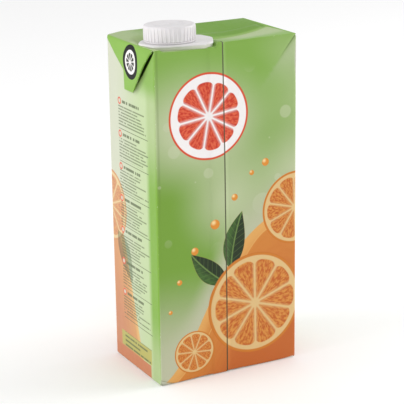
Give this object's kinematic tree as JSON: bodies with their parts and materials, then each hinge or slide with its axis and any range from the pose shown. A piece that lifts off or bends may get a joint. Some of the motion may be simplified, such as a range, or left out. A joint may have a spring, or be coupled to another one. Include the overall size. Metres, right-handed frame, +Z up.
{
  "type": "juice carton",
  "caption": "Shut slim brick carton of folded board with side ears and a top seal fin, a six-sided spout base and a ribbed screw cap, for keeping and pouring juice.",
  "frame": {"origin": "centre of the base, on the surface that the pack stands on", "axes": "+X to the pack's right as seen from its front, +Y to its back, +Z up"},
  "size_m": [0.0938, 0.0616, 0.2058],
  "materials": {
    "printed_board": "printed liquid board with a thin satin film",
    "spout_plastic": "moulded white plastic, satin",
    "cap_plastic": "moulded white plastic, satin"
  },
  "bodies": {
    "root": {"carton": "printed_board", "spout_base": "spout_plastic", "screw_cap": "cap_plastic"}
  },
  "joints": []
}
